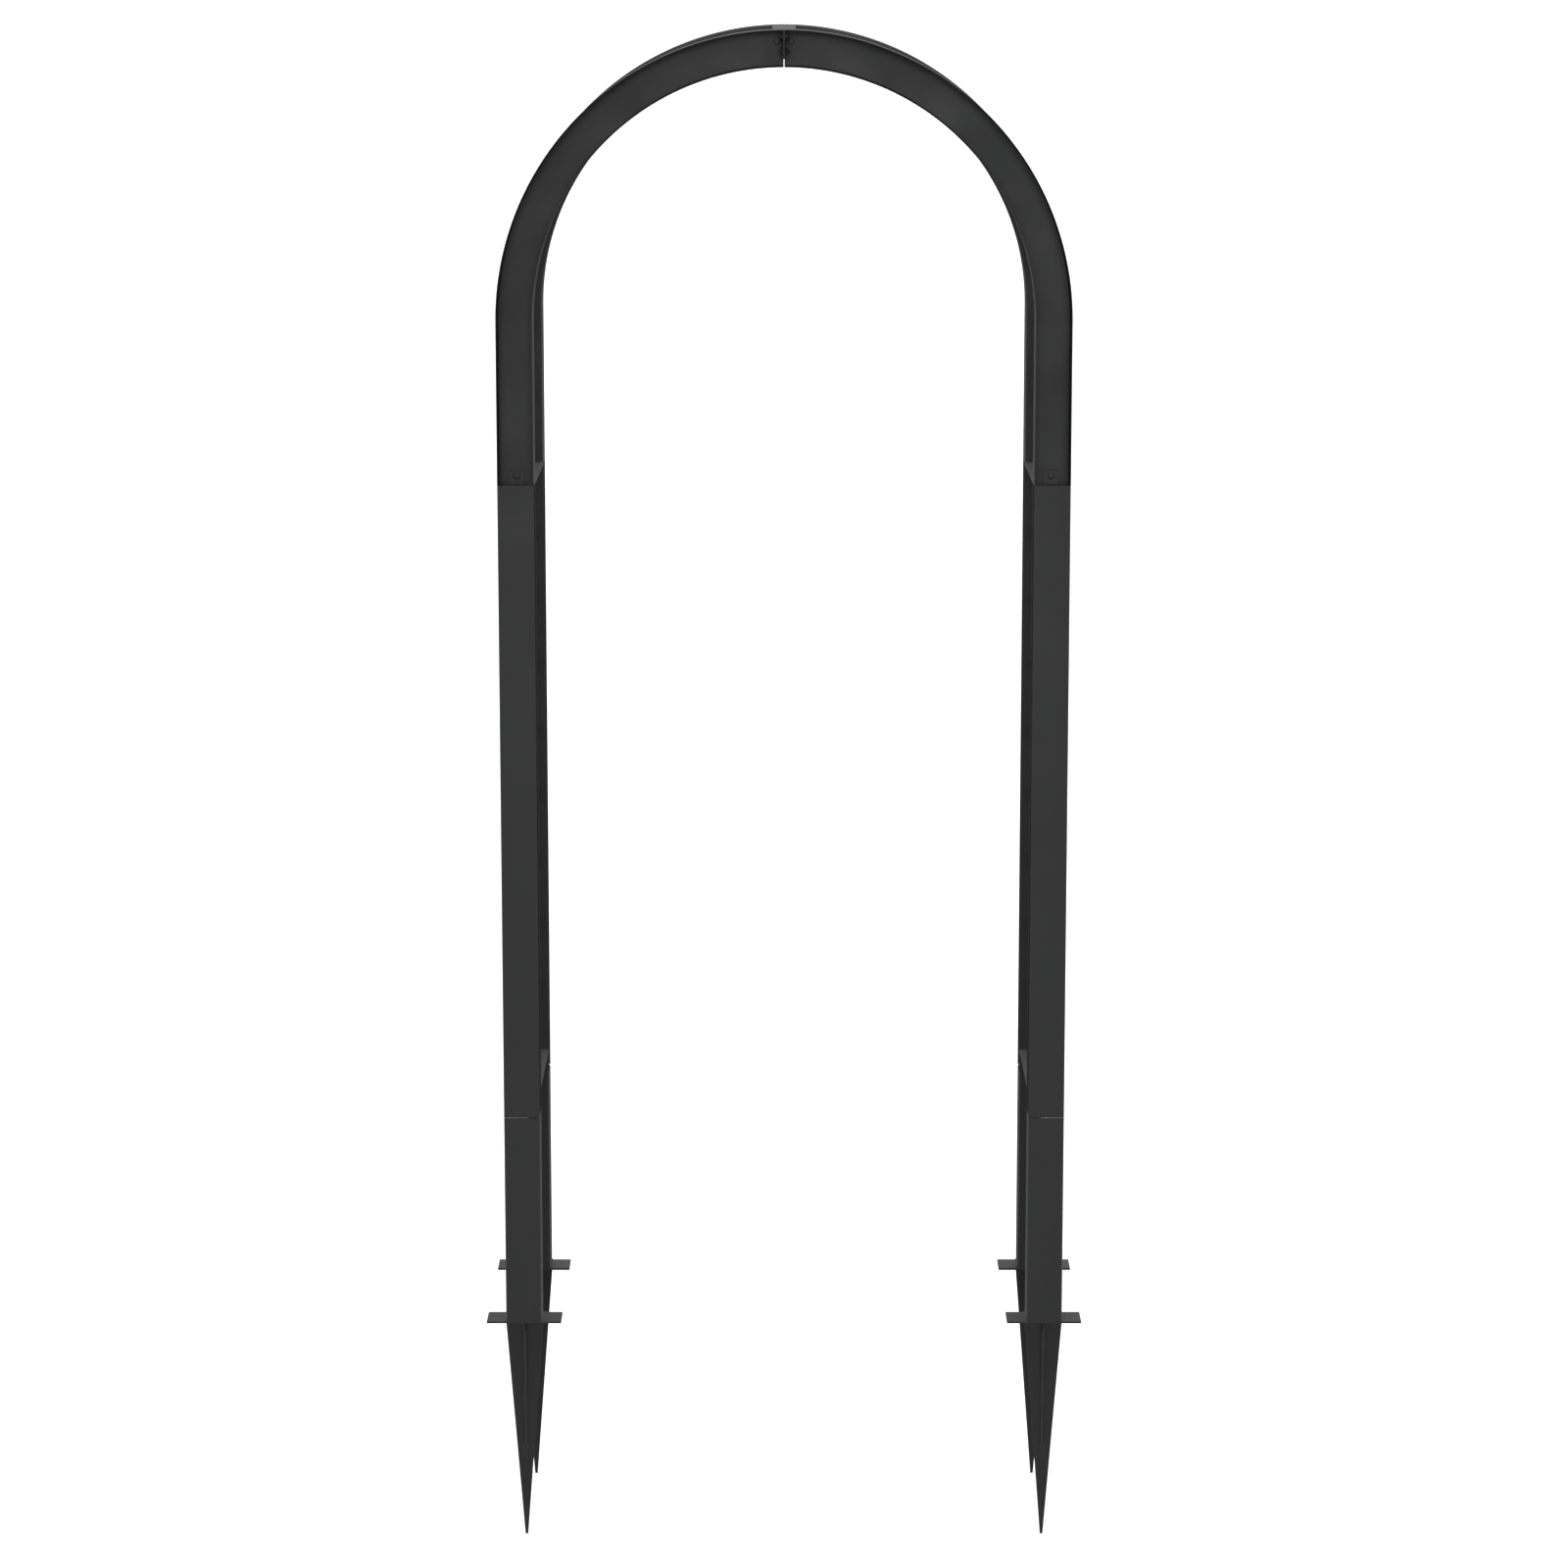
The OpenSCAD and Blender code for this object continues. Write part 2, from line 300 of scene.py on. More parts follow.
def placeGroup(tree, group, vector, **values):
    made = tree.nodes.new("ShaderNodeGroup")
    made.node_tree = group
    feed(tree, vector, made.inputs["Vector"])
    for label, value in values.items():
        made.inputs[label.replace("_", " ")].default_value = value
    return made.outputs


def blendColour(tree, amount, first, second):
    made = tree.nodes.new("ShaderNodeMix")
    made.data_type = "RGBA"
    feed(tree, amount, made.inputs["Factor"])
    feed(tree, first, made.inputs[6])
    feed(tree, second, made.inputs[7])
    return made.outputs[2]


coatMake = {
    "dustPatchShare": 0.25,
    "speckShare": 0.22,
    "dustRoughness": 0.6,
    "bumpStrength": 0.6,
}
powderCoat = {
    "frameCoat": {
        "dark": (0.0335, 0.0340, 0.0350, 1), "light": (0.0385, 0.0390, 0.0400, 1),
        # edge: colour of the painted edge highlight (scuffed wear on the spikes)
        "edge": (0.060, 0.061, 0.063, 1), "edgeRadius": 1.0 * mm, "edgeGain": 1.4,
        # dust: colour of the dust together with the painted top light on upward faces
        "dust": (0.11, 0.108, 0.102, 1), "dustAmount": 0.16,
        "peelSize": 1.5 * mm, "peelDepth": 0.035 * mm, "patchSize": 0.11,
        "roughLow": 0.46, "roughHigh": 0.58, "specular": 0.28,
    },
    "rungCoat": {
        "dark": (0.0295, 0.0300, 0.0310, 1), "light": (0.0345, 0.0350, 0.0360, 1),
        "edge": (0.054, 0.055, 0.057, 1), "edgeRadius": 0.9 * mm, "edgeGain": 1.2,
        "dust": (0.10, 0.098, 0.092, 1), "dustAmount": 0.18,
        "peelSize": 1.3 * mm, "peelDepth": 0.035 * mm, "patchSize": 0.05,
        "roughLow": 0.48, "roughHigh": 0.60, "specular": 0.28,
    },
    "spikeCoat": {
        "dark": (0.0350, 0.0355, 0.0365, 1), "light": (0.0410, 0.0415, 0.0420, 1),
        "edge": (0.064, 0.063, 0.062, 1), "edgeRadius": 1.1 * mm, "edgeGain": 2.2,
        "dust": (0.09, 0.088, 0.082, 1), "dustAmount": 0.10,
        "peelSize": 1.1 * mm, "peelDepth": 0.03 * mm, "patchSize": 0.04,
        "roughLow": 0.52, "roughHigh": 0.66, "specular": 0.22,
    },
    "boltCoat": {
        "dark": (0.028, 0.028, 0.030, 1), "light": (0.038, 0.038, 0.040, 1),
        "edge": (0.062, 0.062, 0.066, 1), "edgeRadius": 0.5 * mm, "edgeGain": 1.6,
        "dust": (0.09, 0.088, 0.082, 1), "dustAmount": 0.08,
        "peelSize": 0.5 * mm, "peelDepth": 0.01 * mm, "patchSize": 0.008,
        "roughLow": 0.42, "roughHigh": 0.56, "specular": 0.30,
    },
}


def makeCoat(name):
    look = powderCoat[name]
    material = bpy.data.materials.new(name)
    material.use_nodes = True
    tree = material.node_tree
    shader = tree.nodes["Principled BSDF"]
    place = tree.nodes.new("ShaderNodeTexCoord").outputs["Object"]
    skin = placeGroup(tree, coatSkin, place, Peel_Size=look["peelSize"],
                      Patch_Size=look["patchSize"])
    edge = placeGroup(tree, edgeCatch, place, Radius=look["edgeRadius"], Gain=look["edgeGain"])
    dust = placeGroup(tree, settledDust, place, Amount=look["dustAmount"],
                      Patch_Size=coatMake["dustPatchShare"] * look["patchSize"])
    colour = blendColour(tree, skin["Tone"], look["dark"], look["light"])
    speck = maths(tree, "MULTIPLY", skin["Speck"], coatMake["speckShare"])
    colour = blendColour(tree, speck, colour, look["edge"])
    # painted highlight: the edge colour laid along rounded edges for light glinting off them
    # (scuffed wear on the spikes)
    colour = blendColour(tree, edge["Mask"], colour, look["edge"])
    # dust together with painted top light: upward-facing surfaces made lighter
    colour = blendColour(tree, dust["Mask"], colour, look["dust"])
    feed(tree, colour, shader.inputs["Base Color"])
    rough = spread(tree, skin["Tone"], 0.0, 1.0, look["roughLow"], look["roughHigh"])
    dull = maths(tree, "MULTIPLY", dust["Mask"], coatMake["dustRoughness"])
    rough = maths(tree, "ADD", rough, dull, clamp=True)
    feed(tree, rough, shader.inputs["Roughness"])
    shader.inputs["Specular IOR Level"].default_value = look["specular"]
    bump = tree.nodes.new("ShaderNodeBump")
    bump.inputs["Strength"].default_value = coatMake["bumpStrength"]
    bump.inputs["Distance"].default_value = look["peelDepth"]
    feed(tree, skin["Height"], bump.inputs["Height"])
    feed(tree, bump.outputs["Normal"], shader.inputs["Normal"])
    return material


zincPlate = {
    "dark": (0.34, 0.345, 0.35, 1), "light": (0.52, 0.525, 0.53, 1), "edge": (0.62, 0.62, 0.62, 1),
    "drawSize": 0.5 * mm, "drawStretch": 60, "drawDepth": 0.01 * mm,
    "patchSize": 0.012, "edgeRadius": 0.8 * mm, "edgeGain": 1.5,
    "roughLow": 0.30, "roughHigh": 0.44, "bumpStrength": 0.5,
}


def makeZinc():
    look = zincPlate
    material = bpy.data.materials.new("zincPlate")
    material.use_nodes = True
    tree = material.node_tree
    shader = tree.nodes["Principled BSDF"]
    place = tree.nodes.new("ShaderNodeTexCoord").outputs["Object"]
    drawn = tree.nodes.new("ShaderNodeMapping")
    drawn.inputs["Scale"].default_value = (1, 1, 1 / look["drawStretch"])   # tube drawn along Z
    feed(tree, place, drawn.inputs["Vector"])
    grain = placeGroup(tree, coatSkin, drawn.outputs["Vector"], Peel_Size=look["drawSize"],
                       Patch_Size=look["patchSize"])
    edge = placeGroup(tree, edgeCatch, place, Radius=look["edgeRadius"], Gain=look["edgeGain"])
    colour = blendColour(tree, grain["Tone"], look["dark"], look["light"])
    # painted highlight: lighter zinc colour along rounded edges for light glinting off them
    colour = blendColour(tree, edge["Mask"], colour, look["edge"])
    feed(tree, colour, shader.inputs["Base Color"])
    feed(tree, spread(tree, grain["Tone"], 0.0, 1.0, look["roughLow"], look["roughHigh"]),
         shader.inputs["Roughness"])
    shader.inputs["Metallic"].default_value = 1.0
    bump = tree.nodes.new("ShaderNodeBump")
    bump.inputs["Strength"].default_value = look["bumpStrength"]
    bump.inputs["Distance"].default_value = look["drawDepth"]
    feed(tree, grain["Height"], bump.inputs["Height"])
    feed(tree, bump.outputs["Normal"], shader.inputs["Normal"])
    return material


frameCoat = makeCoat("frameCoat")
rungCoat = makeCoat("rungCoat")
spikeCoat = makeCoat("spikeCoat")
boltCoat = makeCoat("boltCoat")
zinc = makeZinc()
print("materials made")


# arch channels: a folded U, drawn straight up and then rolled to the crown
archChannel = {
    "straightSteps": 3,
    "arcSteps": 72,
    "notchHeight": 14 * mm,        # bend relief at the crown's inner corner
    "notchGap": 0.6 * mm,
    "endPlate": 1.5 * mm,
    "endPlateCorner": 3 * mm,
    "crownReach": 30 * mm,         # how far from the middle the notch is cut
    "cutTolerance": 0.001 * mm,
}


def makeArchChannel():
    bm, verts = line([(innerX, halfDepth, upperZ), (innerX, gapY, upperZ),
                      (halfWidth, gapY, upperZ), (halfWidth, halfDepth, upperZ)])
    foldCorners(bm, verts[1:3], finish["foldRadius"], finish["foldSegments"])
    edges = bm.edges[:]
    rise = (springZ - upperZ) / archChannel["straightSteps"]
    for step in range(archChannel["straightSteps"]):
        edges = drawOut(bm, edges, (0, 0, rise))
    bmesh.ops.spin(bm, geom=edges, cent=(0, 0, springZ), axis=(0, -1, 0), angle=quarterTurn,
                   steps=archChannel["arcSteps"], use_duplicate=False)
    notchTop = springZ + innerX + archChannel["notchHeight"]
    for point, normal in (((archChannel["notchGap"], 0, 0), (1, 0, 0)),
                          ((0, 0, notchTop), (0, 0, 1))):
        near = [f for f in bm.faces if f.calc_center_median().x < archChannel["crownReach"]]
        nearEdges = list({e for f in near for e in f.edges})
        nearVerts = list({v for f in near for v in f.verts})
        bmesh.ops.bisect_plane(bm, geom=near + nearEdges + nearVerts,
                               dist=archChannel["cutTolerance"], plane_co=point, plane_no=normal)
    notch = [f for f in bm.faces if f.calc_center_median().x < archChannel["notchGap"]
             and f.calc_center_median().z < notchTop]
    bmesh.ops.delete(bm, geom=notch, context="FACES")
    giveWall(bm, finish["sheet"])
    plate, corners = line([(0, gapY + finish["sheet"], notchTop),
                           (0, halfDepth, notchTop),
                           (0, halfDepth, crownZ - finish["sheet"]),
                           (0, gapY + finish["sheet"], crownZ - finish["sheet"])], closed=True)
    foldCorners(plate, corners[1:2], archChannel["endPlateCorner"], finish["cornerSegments"])
    bmesh.ops.contextual_create(plate, geom=plate.edges[:])
    tidyShell(plate)
    put(bm, thicken(plate, (archChannel["endPlate"], 0, 0)))
    plate.free()
    return bm


atCorners(makeArchChannel(), "archChannel", "arch_channel", frameCoat)
print("arch channels rolled")


# stiles open to the walkway, and closed tube legs under them
uprights = {
    "seam": 0.5 * mm,              # half of the hairline gap at the lower joint
    "legRadius": 3 * mm,
    "spigotRadius": 2.5 * mm,
}


def makeStile():
    low = lowerZ + uprights["seam"]
    bm, verts = line([(innerX, gapY, low), (halfWidth, gapY, low),
                      (halfWidth, halfDepth, low), (innerX, halfDepth, low)])
    foldCorners(bm, verts[1:3], finish["foldRadius"], finish["foldSegments"])
    drawOut(bm, bm.edges[:], (0, 0, upperZ - low))
    return giveWall(bm, finish["sheet"])


def makeTube(low, high, radius, wall):
    bm, verts = line([(low.x, low.y, low.z), (high.x, low.y, low.z),
                      (high.x, high.y, low.z), (low.x, high.y, low.z)], closed=True)
    foldCorners(bm, verts, radius, finish["foldSegments"])
    drawOut(bm, bm.edges[:], (0, 0, high.z - low.z))
    return giveWall(bm, wall)


legTop = Vector((legHigh.x, legHigh.y, legHigh.z - uprights["seam"]))
atCorners(makeStile(), "stile", "stile", frameCoat)
atCorners(makeTube(legLow, legTop, uprights["legRadius"], finish["sheet"]), "leg", "leg",
          frameCoat)
spigotLow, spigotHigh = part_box("leg_spigot_rear_right")
atCorners(makeTube(spigotLow, spigotHigh, uprights["spigotRadius"], finish["sheet"]),
          "legSpigot", "leg_spigot", zinc)
print("stiles, legs and spigots drawn")


# ladder rungs of square tube, level in the panels and turned with the arch above
rungMake = {
    "radius": 2.2 * mm,
    "segments": 4,
    "wall": 1.5 * mm,
    "archCount": 7,                # in each half of the arch
}
rungLow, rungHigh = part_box("panel_rung_right_1")
rungWidth = rungHigh.x - rungLow.x


def makeRung():
    half = rungWidth / 2
    bm, verts = line([(-half, -gapY, -half), (half, -gapY, -half), (half, -gapY, half),
                      (-half, -gapY, half)], closed=True)
    foldCorners(bm, verts, rungMake["radius"], rungMake["segments"])
    drawOut(bm, bm.edges[:], (0, 2 * gapY, 0))
    return giveWall(bm, rungMake["wall"])


def archRungPlaces():
    straight = springZ - upperZ
    step = (straight + middleX * quarterTurn) / (rungMake["archCount"] + 1)
    places = []
    for index in range(1, rungMake["archCount"] + 1):
        turn = max(0.0, (index * step - straight) / middleX)
        height = min(upperZ + index * step, springZ)
        places.append(Matrix.Translation((0, 0, height)) @ Matrix.Rotation(-turn, 4, "Y")
                      @ Matrix.Translation((middleX, 0, 0)))
    return places


def panelRungPlaces():
    names = sorted(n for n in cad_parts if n.startswith("panel_rung_right_"))
    middles = [(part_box(n)[0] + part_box(n)[1]) / 2 for n in names]
    return {n: Matrix.Translation(m) for n, m in zip(names, middles)}


rung = makeRung()
panelPlaces = panelRungPlaces()
archPlaces = archRungPlaces()
for nodeName, place in panelPlaces.items():
    number = nodeName.split("_")[-1]
    for side in sides:
        addPiece(reshape(rung.copy(), flip(side) @ place), f"panelRung{side.title()}{number}",
                 rungCoat, [f"panel_rung_{side}_{number}"])
allArchRungs = bmesh.new()
for place in archPlaces:
    put(allArchRungs, rung, place)
rung.free()
atSides(allArchRungs, "archRungs", "arch_rungs", rungCoat)
print("rungs placed:", len(panelPlaces), "in a panel and", len(archPlaces), "in half the arch")


# flat plates
def makePlate(low, high, cornerRadius):
    bm, verts = line([(low.x, low.y, low.z), (high.x, low.y, low.z),
                      (high.x, high.y, low.z), (low.x, high.y, low.z)], closed=True)
    foldCorners(bm, verts, cornerRadius, finish["cornerSegments"])
    bmesh.ops.contextual_create(bm, geom=bm.edges[:])
    return thicken(bm, (0, 0, high.z - low.z))


plates = {
    "archBasePlate": {"node": "arch_base_plate", "corner": 2 * mm},
    "panelTopPlate": {"node": "panel_top_plate", "corner": 2 * mm},
    "panelBottomPlate": {"node": "panel_bottom_plate", "corner": 2 * mm},
}
for stem, make in plates.items():
    low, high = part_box(make["node"] + "_right")
    atSides(makePlate(low, high, make["corner"]), stem, make["node"], frameCoat)
cornerPlates = {"footCorner": 1.2 * mm, "spliceCorner": 3 * mm, "edge": 0.5 * mm}
atCorners(makePlate(footLow, footHigh, cornerPlates["footCorner"]), "footPlate", "foot_plate",
          frameCoat, edge=cornerPlates["edge"])


def makeSplicePlate():
    low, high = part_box("splice_plate_rear_right")
    bm, verts = line([(low.x, low.y, low.z), (high.x, low.y, low.z), (high.x, low.y, high.z),
                      (low.x, low.y, high.z)], closed=True)
    foldCorners(bm, verts, cornerPlates["spliceCorner"], finish["cornerSegments"])
    bmesh.ops.contextual_create(bm, geom=bm.edges[:])
    return thicken(bm, (0, high.y - low.y, 0))


atCorners(makeSplicePlate(), "splicePlate", "splice_plate", frameCoat,
          edge=cornerPlates["edge"])

crownTie = {"wall": 2 * mm, "fold": 3.2 * mm, "foldSegments": 5}


def makeCrownTie():
    low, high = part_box("crown_tie")
    bm = bmesh.new()
    bmesh.ops.create_cube(bm, size=1)
    reshape(bm, Matrix.Translation((low + high) / 2) @ Matrix.Diagonal((*(high - low), 1)))
    under = [f for f in bm.faces if f.normal.z < -0.5]
    bmesh.ops.delete(bm, geom=under, context="FACES_ONLY")
    folds = [e for e in bm.edges if e.is_manifold]
    roundEdges(bm, folds, crownTie["fold"], crownTie["foldSegments"])
    return giveWall(bm, crownTie["wall"])


addPiece(makeCrownTie(), "crownTie", frameCoat, ["crown_tie"])
print("plates and crown tie cut")


# ground spikes: a front blade and two half blades welded across it
spikeMake = {
    "thickness": 4 * mm,
    "tipWidth": 5 * mm,
    "edge": 0.6 * mm,
}


def makeBlade(nearTop, farTop, nearTip, farTip):
    half = spikeMake["thickness"] / 2
    bm, verts = line([(nearTop, -half, 0), (farTop, -half, 0), (farTip, -half, spikeLow.z),
                      (nearTip, -half, spikeLow.z)], closed=True)
    bmesh.ops.contextual_create(bm, geom=bm.edges[:])
    return thicken(bm, (0, 2 * half, 0))


def makeSpike():
    halfX = (spikeHigh.x - spikeLow.x) / 2
    halfY = (spikeHigh.y - spikeLow.y) / 2
    tip = spikeMake["tipWidth"] / 2
    start = spikeMake["thickness"] / 2
    bm = makeBlade(-halfX, halfX, -tip, tip)
    wing = makeBlade(start, halfY, start, tip)
    put(bm, wing, Matrix.Rotation(quarterTurn, 4, "Z"))
    put(bm, wing, Matrix.Rotation(-quarterTurn, 4, "Z"))
    wing.free()
    return reshape(bm, Matrix.Translation((middleX, middleY, 0)))


atCorners(makeSpike(), "spike", "spike", spikeCoat, edge=spikeMake["edge"])
print("spikes made")


# weld beads, laid as overlapping ripples and coated over
weld = {
    "radius": 1.8 * mm,
    "standOff": 0.8 * mm,          # from each of the two faces to the bead's middle
    "ripple": 2.0 * mm,
    "neck": 0.86,
    "end": 0.45,                   # share of the bead's radius left at its ends
    "fewestRipples": 4,
    "rungInset": 0.5 * mm,
    "plateInset": 4 * mm,
    "bladeInset": 2 * mm,
    "bladeReach": (30 * mm, 26 * mm),
    "crownDrop": (40 * mm, 8 * mm),
    "ringPoints": 8,
    "spikeStitch": 26 * mm,
    "spikeStitchAt": (-30 * mm, -135 * mm, -235 * mm),
}
beadStore = {}


def makeBead(length):
    key = round(length, 4)
    if key in beadStore:
        return beadStore[key]
    bm = bmesh.new()
    bmesh.ops.create_circle(bm, cap_ends=True, segments=weld["ringPoints"], radius=weld["radius"])
    reshape(bm, Matrix.Translation((-length / 2, 0, 0)) @ Matrix.Rotation(quarterTurn, 4, "Y"))
    bmesh.ops.scale(bm, vec=(1, weld["end"], weld["end"]), verts=bm.verts[:])
    edges = bm.edges[:]
    steps = max(weld["fewestRipples"], 2 * round(length / weld["ripple"]))
    size = weld["end"]
    for step in range(1, steps + 1):
        edges = drawOut(bm, edges, (length / steps, 0, 0))
        newSize = weld["end"] if step == steps else (1.0 if step % 2 else weld["neck"])
        ring = list({v for e in edges for v in e.verts})
        bmesh.ops.scale(bm, vec=(1, newSize / size, newSize / size), verts=ring)
        size = newSize
    bmesh.ops.contextual_create(bm, geom=edges)
    beadStore[key] = tidyShell(bm)
    return bm


def layBead(target, start, end):
    start, end = Vector(start), Vector(end)
    turn = (end - start).to_track_quat("X", "Z").to_matrix().to_4x4()
    put(target, makeBead((end - start).length), Matrix.Translation((start + end) / 2) @ turn)


def rungBeads():
    bm = bmesh.new()
    out = rungWidth / 2 + weld["standOff"]
    run = rungWidth / 2 - weld["rungInset"]
    for y in (gapY - weld["standOff"], weld["standOff"] - gapY):
        for sign in (-1, 1):
            layBead(bm, (-run, y, sign * out), (run, y, sign * out))
            layBead(bm, (sign * out, y, -run), (sign * out, y, run))
    return bm


def allRungWelds(places):
    bm = bmesh.new()
    beads = rungBeads()
    for place in places:
        put(bm, beads, place)
    beads.free()
    return bm


def plateWelds():
    bm = bmesh.new()
    off = weld["standOff"]
    start, end = innerX + weld["plateInset"], halfWidth - weld["plateInset"]
    heights = (seatHigh.z + off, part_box("panel_top_plate_right")[0].z - off,
               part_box("panel_bottom_plate_right")[0].z - off)
    for z in heights:
        for y in (gapY - off, off - gapY):
            layBead(bm, (start, y, z), (end, y, z))
    return bm


def cornerWelds():
    bm = bmesh.new()
    off = weld["standOff"]
    inset = weld["bladeInset"]
    reachX, reachY = weld["bladeReach"]
    start, end = gapY + weld["plateInset"], halfDepth - weld["plateInset"]
    for x in (innerX - off, halfWidth + off):
        layBead(bm, (x, start, footHigh.z + off), (x, end, footHigh.z + off))
    half = spikeMake["thickness"] / 2 + off
    for sx in (-1, 1):
        for sy in (-1, 1):
            x, y = middleX + sx * half, middleY + sy * half
            layBead(bm, (x + sx * inset, y, -off), (middleX + sx * reachX, y, -off))
            layBead(bm, (x, y + sy * inset, -off), (x, middleY + sy * reachY, -off))
            for top in weld["spikeStitchAt"]:
                layBead(bm, (x, y, top), (x, y, top - weld["spikeStitch"]))
    return bm


def crownWelds():
    bm = bmesh.new()
    x = archChannel["endPlate"] + weld["standOff"]
    y = gapY + finish["sheet"] + weld["standOff"]
    bottom, top = weld["crownDrop"]
    layBead(bm, (x, y, crownZ - bottom), (x, y, crownZ - top))
    return bm


atSides(allRungWelds(panelPlaces.values()), "panelRungWelds", None, frameCoat,
        edge=0)
atSides(allRungWelds(archPlaces), "archRungWelds", None, frameCoat, edge=0)
atSides(plateWelds(), "plateWelds", None, frameCoat, edge=0)
for side in sides:
    for face in faces:
        corner = face.title() + side.title()
        addPiece(reshape(cornerWelds(), flip(side, face)), "footWelds" + corner, spikeCoat,
                 edge=0)
        addPiece(reshape(crownWelds(), flip(side, face)), "crownWeld" + corner, frameCoat,
                 edge=0)
for shape in beadStore.values():
    shape.free()
print("weld beads laid")


# bolts, nuts and screws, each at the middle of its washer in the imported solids
bolt = {
    "acrossFlats": 10 * mm,
    "head": 4 * mm,
    "chamfer": 0.7 * mm,
    "shank": 6 * mm,
    "root": 4.9 * mm,              # across the thread's bottom
    "pitch": 1 * mm,
    "pastNut": 3 * mm,
    "nut": 5 * mm,
    "washer": 12 * mm,
    "washerThickness": 1.6 * mm,
    "washerCorner": 0.25 * mm,
    "tipChamfer": (0.2 * mm, 0.4 * mm),
    "nutChamfer": 0.6 * mm,
    "steps": 24,
    "flatCuts": 3,                 # cuts that give a hexagon the round hole's points
}
hexRatio = math.cos(math.pi / 6)   # a hexagon's half width for a corner radius of one
screw = {
    "head": 11 * mm,
    "headHeight": 3.3 * mm,
    "socket": 4 * mm,              # across the socket's flats
    "socketDepth": 2 * mm,
    "reach": 8 * mm,
    "mouth": 1.2,                  # round mouth, as a share of the socket
    "crownDrop": 0.02 * mm,
    "dome": ((0.7, 0.82), (0.9, 0.5), (0.99, 0.16), (1.0, 0.0)),   # shares of radius and height
    "flat": 0.45,
}


def turned(points, steps=bolt["steps"]):
    bm, verts = line(points)
    bmesh.ops.spin(bm, geom=bm.verts[:] + bm.edges[:], cent=(0, 0, 0), axis=(0, 0, 1),
                   angle=4 * quarterTurn, steps=steps, use_merge=True, use_duplicate=False)
    return tidyShell(bm)


def makeWasher():
    inner, outer = bolt["shank"] / 2, bolt["washer"] / 2
    thick, corner = bolt["washerThickness"], bolt["washerCorner"]
    points = [(inner, 0, 0), (outer - corner, 0, 0), (outer, 0, corner),
              (outer, 0, thick - corner), (outer - corner, 0, thick), (inner, 0, thick),
              (inner, 0, 0)]
    return turned(points)


def makeShank(grip):
    full, root, step = bolt["shank"] / 2, bolt["root"] / 2, bolt["pitch"] / 2
    inset, rise = bolt["tipChamfer"]
    points = [(0, 0, -grip), (root - inset, 0, -grip)]
    z = -grip + rise
    while z < -grip + bolt["pastNut"] + step:
        points += [(full, 0, z), (root, 0, z + step)]
        z += bolt["pitch"]
    points += [(full, 0, z), (full, 0, bolt["washerThickness"]), (0, 0, bolt["washerThickness"])]
    return turned(points)


def makeHead():
    bm = bmesh.new()
    bmesh.ops.create_circle(bm, cap_ends=True, segments=6,
                            radius=bolt["acrossFlats"] / 2 / hexRatio)
    thicken(bm, (0, 0, bolt["head"]))
    roundEdges(bm, [e for e in bm.edges if all(v.co.z > bolt["head"] / 2 for v in e.verts)],
               bolt["chamfer"], 2)
    return reshape(bm, Matrix.Translation((0, 0, bolt["washerThickness"])))


def makeNut():
    bm = bmesh.new()
    bmesh.ops.create_circle(bm, segments=6, radius=bolt["acrossFlats"] / 2 / hexRatio)
    bmesh.ops.subdivide_edges(bm, edges=bm.edges[:], cuts=bolt["flatCuts"])
    bmesh.ops.create_circle(bm, segments=bolt["steps"], radius=bolt["shank"] / 2)
    bmesh.ops.bridge_loops(bm, edges=bm.edges[:])
    thicken(tidyShell(bm), (0, 0, bolt["nut"]))
    level = finish["mergeDistance"]
    rim = [e for e in bm.edges if abs(e.verts[0].co.z - e.verts[1].co.z) < level
           and min(v.co.xy.length for v in e.verts) > 0.95 * bolt["acrossFlats"] / 2
           and e.calc_face_angle() > 1]
    roundEdges(bm, rim, bolt["nutChamfer"], 1)
    return bm


def makeBolt(clamped):
    bm = makeShank(clamped + bolt["nut"] + bolt["pastNut"])
    for part in (makeWasher(), makeHead()):
        put(bm, part)
        part.free()
    return bm


def makeButton():
    socket = screw["socket"] / 2
    rim, top = screw["head"] / 2, screw["headHeight"]
    points = [(socket * screw["mouth"], 0, top), (screw["flat"] * rim, 0, top - screw["crownDrop"])]
    points += [(across * rim, 0, up * top) for across, up in screw["dome"]]
    points += [(bolt["shank"] / 2, 0, 0), (bolt["shank"] / 2, 0, -screw["reach"]),
               (0, 0, -screw["reach"])]
    bm = turned(points)
    mouth = [e for e in bm.edges if e.is_boundary]
    bmesh.ops.create_circle(bm, segments=6, radius=socket / hexRatio,
                            matrix=Matrix.Translation((0, 0, top)))
    hexagon = [e for e in bm.edges if e.is_wire]
    bmesh.ops.subdivide_edges(bm, edges=hexagon, cuts=bolt["flatCuts"])
    hexagon = [e for e in bm.edges if e.is_wire]
    bmesh.ops.bridge_loops(bm, edges=mouth + hexagon)
    floorEdges = drawOut(bm, [e for e in bm.edges if e.is_boundary], (0, 0, -screw["socketDepth"]))
    bmesh.ops.contextual_create(bm, geom=floorEdges)
    return tidyShell(bm)


def stand(point, direction, spin):
    turn = Vector(direction).to_track_quat("Z", "Y").to_matrix().to_4x4()
    return Matrix.Translation(point) @ turn @ Matrix.Rotation(math.radians(spin), 4, "Z")


def inward(node, radius):
    low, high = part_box(node)
    return low + Vector((radius, radius, radius)), high - Vector((radius, radius, radius))


